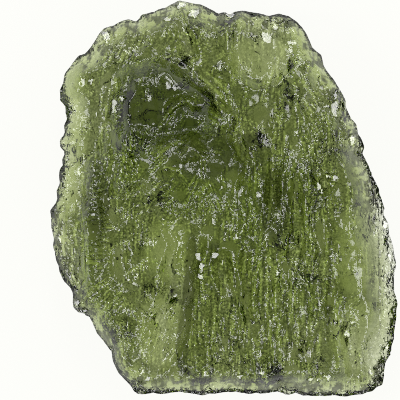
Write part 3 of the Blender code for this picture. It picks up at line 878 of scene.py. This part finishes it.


def glass_material():
    """Clear green glass that darkens with its depth, with painted speckled shade and painted shade in the
    hollows of its surface.
    """
    material = bpy.data.materials.new("moldavite_glass")
    material.use_nodes = True
    tree = material.node_tree
    shader = tree.nodes["Principled BSDF"]
    output = tree.nodes["Material Output"]
    shader.inputs["Base Color"].default_value = (1, 1, 1, 1)
    shader.inputs["Roughness"].default_value = GLASS_ROUGHNESS
    shader.inputs["IOR"].default_value = GLASS_IOR
    shader.inputs["Transmission Weight"].default_value = 1.0
    absorb = tree.nodes.new("ShaderNodeVolumeAbsorption")
    density = max(GLASS_LOSS)
    absorb.inputs["Color"].default_value = (*(1 - loss / density for loss in GLASS_LOSS), 1)
    absorb.inputs["Density"].default_value = density
    tree.links.new(absorb.outputs["Volume"], output.inputs["Volume"])
    place = tree.nodes.new("ShaderNodeTexCoord")
    # Painted speckled shade: fine noise that tints the glass darker in specks.
    fine_shade = tree.nodes.new("ShaderNodeTexNoise")
    fine_shade.inputs["Scale"].default_value = 1 / FINE_SHADE_SIZE
    fine_shade.inputs["Detail"].default_value = 0
    tree.links.new(place.outputs["Object"], fine_shade.inputs["Vector"])
    tone = tree.nodes.new("ShaderNodeValToRGB")
    tone.color_ramp.elements[0].position = FINE_SHADE_SPREAD[0]
    tone.color_ramp.elements[0].color = (*FINE_SHADE_TINT, 1)
    tone.color_ramp.elements[1].position = FINE_SHADE_SPREAD[1]
    tone.color_ramp.elements[1].color = (1, 1, 1, 1)
    tree.links.new(fine_shade.outputs["Fac"], tone.inputs["Fac"])
    share = tree.nodes.new("ShaderNodeAttribute")
    share.attribute_name = "fine_shade"
    tinted = tree.nodes.new("ShaderNodeMix")
    tinted.data_type = "RGBA"
    tinted.inputs["A"].default_value = (1, 1, 1, 1)
    tree.links.new(share.outputs["Fac"], tinted.inputs["Factor"])
    tree.links.new(tone.outputs["Color"], tinted.inputs["B"])
    # Painted shade and painted highlight, kept on the points.
    shade_share = tree.nodes.new("ShaderNodeAttribute")
    shade_share.attribute_name = "painted_shade"
    shaded = tree.nodes.new("ShaderNodeMix")
    shaded.data_type = "RGBA"
    shaded.blend_type = "MULTIPLY"
    shaded.inputs["B"].default_value = (*SHADE_TINT, 1)
    tree.links.new(shade_share.outputs["Fac"], shaded.inputs["Factor"])
    tree.links.new(tinted.outputs["Result"], shaded.inputs["A"])
    tree.links.new(shaded.outputs["Result"], shader.inputs["Base Color"])
    return material


stone.data.materials.clear()
stone.data.materials.append(glass_material())
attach(stone, "root")
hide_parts("moldavite")

# The lights and the camera
# Plain soft studio light: faint soft boxes and a ring of small low lamps around the stone, and one stronger
# lamp at its left and one at its top, in a dim room with pale walls. The camera has a long lens and looks
# straight down.
LIGHT_DISTANCE = 0.62
# Name, how many evenly around, the way to the first in degrees from the right, tilt in degrees from straight
# above, side in metres, power in watts
LIGHT_SETS = (
    ("soft_box", 8, 0, 45, 0.30, 0.05),
    ("low_lamp", 16, 0, 68, 0.14, 0.44),
    ("key_lamp_left", 1, 180, 50, 0.13, 0.68),
    ("key_lamp_top", 1, 90, 50, 0.13, 0.68),
)

for name, ways, first, degrees, side, power in LIGHT_SETS:
    for number in range(ways):
        away = math.radians(first) + 2 * math.pi * number / ways
        tilt = math.radians(degrees)
        towards = Vector((math.cos(away) * math.sin(tilt), math.sin(away) * math.sin(tilt), math.cos(tilt)))
        box = bpy.data.lights.new(f"{name}_{number}", "AREA")
        box.shape = "SQUARE"
        box.size = side
        box.energy = power
        lamp = bpy.data.objects.new(box.name, box)
        lamp.location = towards * LIGHT_DISTANCE
        lamp.rotation_euler = towards.to_track_quat("Z", "Y").to_euler()
        lamp.visible_camera = False
        scene.collection.objects.link(lamp)

WALL_LIGHT = (0.90, 0.90, 0.88)
CEILING_LIGHT = (0.12, 0.12, 0.12)
WALL_FADE = (0.06, 0.14)  # heights between which the walls fade into the ceiling, on a sphere of radius 1

world = bpy.data.worlds.new("pale_room")
scene.world = world
world.use_nodes = True
sky_tree = world.node_tree
sky = sky_tree.nodes["Background"]
place = sky_tree.nodes.new("ShaderNodeTexCoord")
apart = sky_tree.nodes.new("ShaderNodeSeparateXYZ")
fade = sky_tree.nodes.new("ShaderNodeValToRGB")
for element, height, light in zip(fade.color_ramp.elements, WALL_FADE, (WALL_LIGHT, CEILING_LIGHT)):
    element.position = height
    element.color = (*light, 1)
sky_tree.links.new(place.outputs["Generated"], apart.inputs["Vector"])
sky_tree.links.new(apart.outputs["Z"], fade.inputs["Fac"])
sky_tree.links.new(fade.outputs["Color"], sky.inputs["Color"])

# The field of view is the photograph's: 36.4 mm at the level of the stone's edge.
FIELD = 36.36 * MM
FIELD_MIDDLE = (-2.18 * MM, -0.14 * MM)
EDGE_LEVEL = 3.4 * MM
CAMERA_HEIGHT = 0.40
SENSOR = 36.0
NEAREST_SEEN = 0.01

eye = bpy.data.cameras.new("camera")
eye.sensor_width = SENSOR
eye.lens = SENSOR * CAMERA_HEIGHT / FIELD
eye.clip_start = NEAREST_SEEN
camera = bpy.data.objects.new("camera", eye)
camera.location = (FIELD_MIDDLE[0], FIELD_MIDDLE[1], EDGE_LEVEL + CAMERA_HEIGHT)
scene.collection.objects.link(camera)
scene.camera = camera
scene.view_settings.view_transform = "Standard"
# The etched lines are about as fine as a pixel, so no noise filter and no wide pixel filter may blur them.
scene.cycles.use_denoising = False
scene.cycles.filter_width = 1.0
